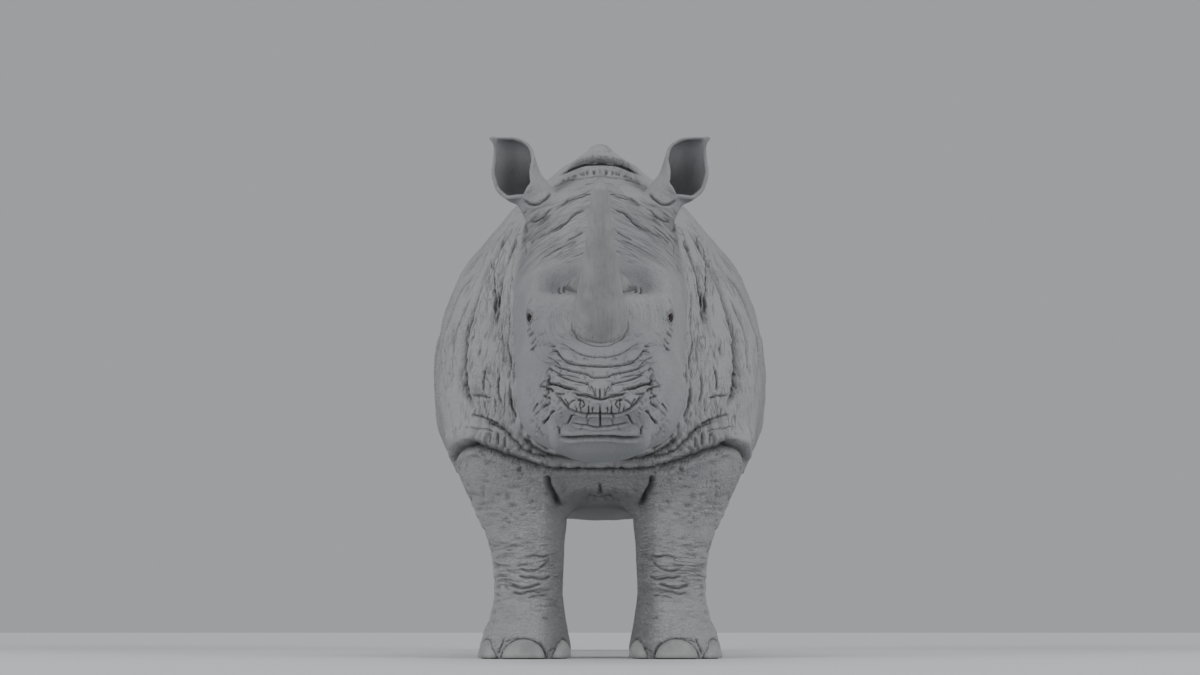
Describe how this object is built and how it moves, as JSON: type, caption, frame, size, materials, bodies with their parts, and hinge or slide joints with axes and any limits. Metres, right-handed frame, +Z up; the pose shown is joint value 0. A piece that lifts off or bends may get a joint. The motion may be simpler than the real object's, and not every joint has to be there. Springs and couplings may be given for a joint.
{
  "type": "white rhinoceros model",
  "caption": "Life-size still model of a grown white rhinoceros standing square on its feet, head lowered and horns raised.",
  "frame": {"origin": "on the ground midway between the left and right feet, at the middle of the animal's length with its horn", "axes": "+Z up, +X to the animal's left, +Y towards its tail; it faces -Y"},
  "size_m": [1.1782, 3.1532, 1.64],
  "materials": {
    "hide": "dry, deeply wrinkled grey hide, matt",
    "horn": "fibrous grey keratin, worn smooth towards the tip",
    "eye": "wet dark brown eye",
    "toenail": "thick grey toenail, scuffed"
  },
  "bodies": {
    "root": {"head": "hide", "muzzle": "hide", "jaw": "hide", "neck": "hide", "trunk": "hide", "tail": "hide", "foreleg_left": "hide", "foreleg_right": "hide", "hindleg_left": "hide", "hindleg_right": "hide", "ear_left": "hide", "ear_right": "hide", "horn_front": "horn", "horn_rear": "horn", "eye_left": "eye", "eye_right": "eye", "nail_foreleg_inner_left": "toenail", "nail_foreleg_middle_left": "toenail", "nail_foreleg_outer_left": "toenail", "nail_hindleg_inner_left": "toenail", "nail_hindleg_middle_left": "toenail", "nail_hindleg_outer_left": "toenail", "nail_foreleg_inner_right": "toenail", "nail_foreleg_middle_right": "toenail", "nail_foreleg_outer_right": "toenail", "nail_hindleg_inner_right": "toenail", "nail_hindleg_middle_right": "toenail", "nail_hindleg_outer_right": "toenail"}
  },
  "joints": []
}
